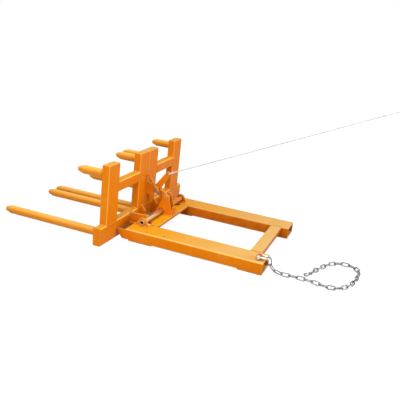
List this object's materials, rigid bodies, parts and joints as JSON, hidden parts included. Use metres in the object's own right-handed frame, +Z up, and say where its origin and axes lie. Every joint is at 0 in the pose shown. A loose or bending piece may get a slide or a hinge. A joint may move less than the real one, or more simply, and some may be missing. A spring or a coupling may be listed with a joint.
{
  "type": "forklift drum rotator",
  "caption": "Fork mounted frame with a tilting tined head for carrying drums side by side, a sprung hook latch, a release cord and a safety chain.",
  "frame": {"origin": "under the middle of the head's bottom beam, on the ground that the part stands on, in the head's centre plane", "axes": "+X along the tines, away from the truck; +Y to the left of someone driving forward; +Z up"},
  "size_m": [2.68, 1.37, 1.1944],
  "materials": {
    "paint": "semi-gloss yellow orange enamel, lightly worn",
    "bright_steel": "bright drawn bar",
    "galvanised": "bright zinc",
    "bronze": "oiled bearing bronze",
    "rope": "braided cord"
  },
  "bodies": {
    "fork_frame": {"fork_sleeve_left": "paint", "fork_sleeve_right": "paint", "front_straps": "paint", "rear_straps": "paint", "front_cross_plate": "paint", "rear_cross_plate": "paint", "shaft_lug_left": "paint", "shaft_lug_right": "paint", "hinge_bush_left": "bronze", "hinge_bush_right": "bronze", "catch_plate_left": "paint", "catch_plate_right": "paint", "catch_web": "paint", "catch_pin": "bright_steel", "catch_pin_clips": "galvanised", "chain_lug": "paint", "shackle_bow": "galvanised", "shackle_pin": "galvanised", "safety_chain": "galvanised", "chain_hook": "galvanised"},
    "tilting_head": {"bottom_beam": "paint", "beam_end_caps": "paint", "outer_post_left": "paint", "outer_post_right": "paint", "middle_post_left": "paint", "middle_post_right": "paint", "post_caps": "paint", "upper_bar_left": "paint", "upper_bar_right": "paint", "lower_tine_outer_left": "paint", "lower_tine_inner_left": "paint", "lower_tine_inner_right": "paint", "lower_tine_outer_right": "paint", "upper_tine_outer_left": "paint", "upper_tine_inner_left": "paint", "upper_tine_inner_right": "paint", "upper_tine_outer_right": "paint", "hinge_arm_left": "paint", "hinge_arm_right": "paint", "tilt_shaft": "bright_steel", "shaft_washers": "galvanised", "shaft_pins": "galvanised", "post_ribs": "paint", "latch_ears": "paint", "latch_pivot_pin": "galvanised", "latch_washers": "galvanised", "spring_hook_post": "paint", "latch_spring": "galvanised"},
    "latch": {"latch_lever": "paint", "lever_bush": "bronze", "spring_pin": "galvanised", "release_cord": "rope", "cord_eye_loop": "rope", "cord_far_loop": "rope"}
  },
  "joints": [
    {"name": "head_tilt", "type": "hinge", "parent": "fork_frame", "child": "tilting_head", "pos_m": [-0.172, 0, 0.114], "axis": [0, 1, 0], "range_deg": [0, 90]},
    {"name": "latch_release", "type": "hinge", "parent": "tilting_head", "child": "latch", "pos_m": [-0.1, 0, 0.266], "axis": [0, -1, 0], "range_deg": [0, 16], "stiffness_Nm_per_rad": 12, "springref_deg": -20.05, "deforming": ["latch_spring"]}
  ]
}
